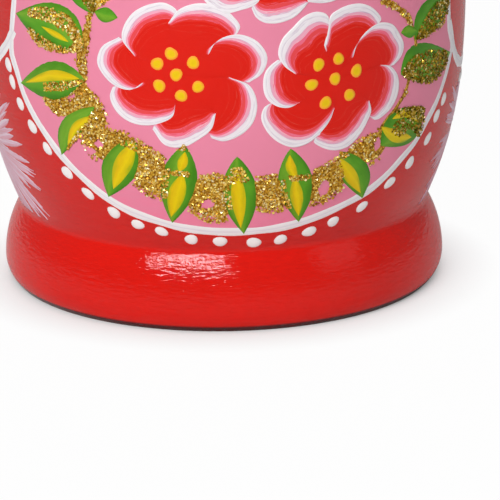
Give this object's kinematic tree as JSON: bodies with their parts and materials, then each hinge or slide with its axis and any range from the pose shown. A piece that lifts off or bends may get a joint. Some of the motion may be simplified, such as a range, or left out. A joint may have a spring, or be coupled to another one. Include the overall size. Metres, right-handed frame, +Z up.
{
  "type": "nesting doll",
  "caption": "Painted wooden nesting doll with a base ring, a belly and a round head; each doll opens at a turned joint over the next smaller one.",
  "frame": {"origin": "centre of the outer doll's foot, on the ground", "axes": "+Z up along the turned axis, -Y towards the doll's painted front"},
  "size_m": [0.0796, 0.0796, 0.156],
  "materials": {
    "red_painted_wood": "hand painted over turned linden wood, clear gloss lacquer",
    "blue_painted_wood": "hand painted over turned linden wood, clear gloss lacquer",
    "green_painted_wood": "hand painted over turned linden wood, clear gloss lacquer",
    "violet_painted_wood": "hand painted over turned linden wood, clear gloss lacquer",
    "orange_painted_wood": "hand painted over turned linden wood, clear gloss lacquer",
    "teal_painted_wood": "hand painted over turned linden wood, clear gloss lacquer",
    "rose_painted_wood": "hand painted over turned linden wood, clear gloss lacquer"
  },
  "bodies": {
    "doll_1_lower": {"doll_1_lower_half": "red_painted_wood"},
    "doll_1_upper": {"doll_1_upper_half": "red_painted_wood"},
    "doll_2_lower": {"doll_2_lower_half": "blue_painted_wood"},
    "doll_2_upper": {"doll_2_upper_half": "blue_painted_wood"},
    "doll_3_lower": {"doll_3_lower_half": "green_painted_wood"},
    "doll_3_upper": {"doll_3_upper_half": "green_painted_wood"},
    "doll_4_lower": {"doll_4_lower_half": "violet_painted_wood"},
    "doll_4_upper": {"doll_4_upper_half": "violet_painted_wood"},
    "doll_5_lower": {"doll_5_lower_half": "orange_painted_wood"},
    "doll_5_upper": {"doll_5_upper_half": "orange_painted_wood"},
    "doll_6_lower": {"doll_6_lower_half": "teal_painted_wood"},
    "doll_6_upper": {"doll_6_upper_half": "teal_painted_wood"},
    "doll_7_whole": {"doll_7_solid": "rose_painted_wood"}
  },
  "joints": [
    {"name": "doll_2_lifts_out", "type": "slide", "parent": "doll_1_lower", "child": "doll_2_lower", "axis": [0, 0, 1], "range_m": [0, 0.071]},
    {"name": "doll_3_lifts_out", "type": "slide", "parent": "doll_2_lower", "child": "doll_3_lower", "axis": [0, 0, 1], "range_m": [0, 0.056]},
    {"name": "doll_4_lifts_out", "type": "slide", "parent": "doll_3_lower", "child": "doll_4_lower", "axis": [0, 0, 1], "range_m": [0, 0.044]},
    {"name": "doll_5_lifts_out", "type": "slide", "parent": "doll_4_lower", "child": "doll_5_lower", "axis": [0, 0, 1], "range_m": [0, 0.034]},
    {"name": "doll_6_lifts_out", "type": "slide", "parent": "doll_5_lower", "child": "doll_6_lower", "axis": [0, 0, 1], "range_m": [0, 0.027]},
    {"name": "doll_7_lifts_out", "type": "slide", "parent": "doll_6_lower", "child": "doll_7_whole", "axis": [0, 0, 1], "range_m": [0, 0.022]},
    {"name": "doll_6_opens", "type": "slide", "parent": "doll_7_whole", "child": "doll_6_upper", "axis": [0, 0, 1], "range_m": [0, 0.022]},
    {"name": "doll_5_opens", "type": "slide", "parent": "doll_6_upper", "child": "doll_5_upper", "axis": [0, 0, 1], "range_m": [0, 0.028]},
    {"name": "doll_4_opens", "type": "slide", "parent": "doll_5_upper", "child": "doll_4_upper", "axis": [0, 0, 1], "range_m": [0, 0.035]},
    {"name": "doll_3_opens", "type": "slide", "parent": "doll_4_upper", "child": "doll_3_upper", "axis": [0, 0, 1], "range_m": [0, 0.045]},
    {"name": "doll_2_opens", "type": "slide", "parent": "doll_3_upper", "child": "doll_2_upper", "axis": [0, 0, 1], "range_m": [0, 0.057]},
    {"name": "doll_1_opens", "type": "slide", "parent": "doll_2_upper", "child": "doll_1_upper", "axis": [0, 0, 1], "range_m": [0, 0.073]}
  ]
}
